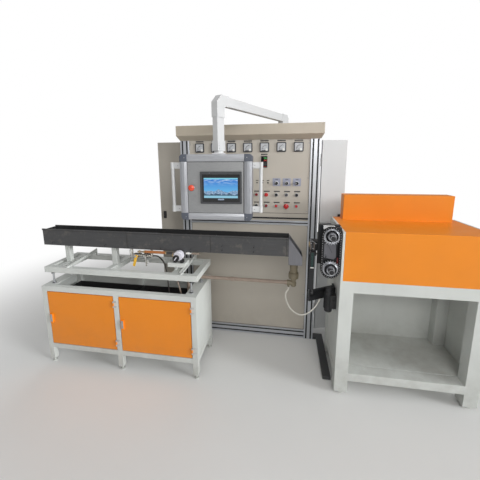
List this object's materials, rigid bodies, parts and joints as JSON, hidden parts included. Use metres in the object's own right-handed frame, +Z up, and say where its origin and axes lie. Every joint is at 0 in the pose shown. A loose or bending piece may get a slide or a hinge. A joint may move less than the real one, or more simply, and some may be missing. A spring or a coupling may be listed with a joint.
{
  "type": "plastic extrusion line control and cooling station",
  "caption": "Slotted-profile control cabinet with swing-arm operator panel, cooling trough on a service bench, and chain-driven haul-off of a plastic extrusion line.",
  "frame": {"origin": "on the floor under the middle of the control cabinet, on the underside of its floor pan", "axes": "+X along the line towards the haul-off, -Y towards the operator, +Z up"},
  "size_m": [3.194, 1.3052, 2.031],
  "materials": {
    "profile": "satin anodised",
    "cabinet_paint": "satin",
    "zinc": "zinc coated",
    "plate_paint": "satin",
    "meter_case": "matt",
    "black_plastic": "matt",
    "knob_plastic": "matt",
    "button_plastic": "gloss",
    "black_steel": "satin",
    "door_paint": "satin",
    "arm_coat": "satin",
    "corner_plastic": "matt",
    "brushed_plate": "brushed",
    "screen": "gloss",
    "bench_paint": "satin",
    "orange_paint": "satin",
    "stainless": "brushed",
    "pump_paint": "satin",
    "nickel": "satin",
    "yellow_plastic": "matt",
    "hose_rubber": "matt",
    "fitting_plastic": "matt",
    "pipe_plastic": "matt",
    "white_hose": "matt",
    "dark_steel": "satin",
    "bracket_paint": "satin",
    "sprocket_metal": "machined",
    "chain_steel": "oiled"
  },
  "bodies": {
    "base": {"cabinet_posts": "profile", "cabinet_rails": "profile", "canopy": "cabinet_paint", "front_panels": "cabinet_paint", "rear_panel": "cabinet_paint", "floor_pan": "zinc", "mounting_plate": "plate_paint", "ammeters": "meter_case", "temperature_display": "black_plastic", "speed_knobs": "knob_plastic", "push_buttons": "button_plastic", "side_panels": "cabinet_paint", "door_hinges": "black_steel", "arm_base": "arm_coat", "bench_frame": "bench_paint", "bench_panels": "bench_paint", "bench_hinges": "zinc", "water_tank": "stainless", "levelling_studs": "zinc", "lift_frame": "bench_paint", "pump_plate": "bench_paint", "pump": "pump_paint", "trough": "stainless", "trough_stands": "bench_paint", "valve_manifold": "nickel", "feed_hose": "hose_rubber", "drain_box": "stainless", "drain_fitting": "fitting_plastic", "return_pipe": "pipe_plastic", "drain_hose": "white_hose", "haul_frame": "bench_paint", "haul_panels": "bench_paint", "haul_covers": "orange_paint", "drive_housing": "dark_steel", "drive_bracket": "bracket_paint", "drive_sprockets": "sprocket_metal", "drive_chain": "chain_steel", "drive_motor": "black_steel", "line_guide": "black_steel", "cable_cover": "dark_steel"},
    "arm": {"arm_beam": "arm_coat", "arm_elbow": "arm_coat", "drop_tube": "arm_coat", "swivel_coupling": "arm_coat"},
    "operator_panel": {"panel_flange": "arm_coat", "panel_profiles": "profile", "panel_corners": "corner_plastic", "panel_plate": "brushed_plate", "panel_back": "brushed_plate", "touch_screen": "screen", "stop_button": "button_plastic", "panel_handles": "profile"},
    "left_door": {"left_side_door": "door_paint", "left_door_lock": "black_plastic"},
    "right_door": {"right_side_door": "door_paint", "right_door_lock": "black_plastic"},
    "bench_door_a": {"bench_door_right": "orange_paint"},
    "bench_door_b": {"bench_door_left": "orange_paint"},
    "lever": {"valve_lever": "yellow_plastic"}
  },
  "joints": [
    {"name": "arm_swing", "type": "hinge", "parent": "base", "child": "arm", "pos_m": [0.294, 0, 1.955], "axis": [0, 0, 1], "range_deg": [-22, 48]},
    {"name": "panel_turn", "type": "hinge", "parent": "arm", "child": "operator_panel", "pos_m": [-0.11256, -0.87187, 1.7], "axis": [0, 0, 1], "range_deg": [-80, 80]},
    {"name": "left_door_swing", "type": "hinge", "parent": "base", "child": "left_door", "pos_m": [-0.608, -0.222, 0.9], "axis": [0, 0, 1], "range_deg": [-90, 20]},
    {"name": "right_door_swing", "type": "hinge", "parent": "base", "child": "right_door", "pos_m": [0.608, -0.222, 0.9], "axis": [0, 0, -1], "range_deg": [-72, 38]},
    {"name": "bench_door_right_swing", "type": "hinge", "parent": "base", "child": "bench_door_a", "pos_m": [-0.327, -0.9265, 0.4], "axis": [0, 0, 1], "range_deg": [0, 100]},
    {"name": "bench_door_left_swing", "type": "hinge", "parent": "base", "child": "bench_door_b", "pos_m": [-0.937, -0.9265, 0.4], "axis": [0, 0, 1], "range_deg": [0, 100]},
    {"name": "valve_turn", "type": "hinge", "parent": "base", "child": "lever", "pos_m": [-0.8, -0.76, 0.898], "axis": [0, 1, 0], "range_deg": [-17, 73]}
  ]
}
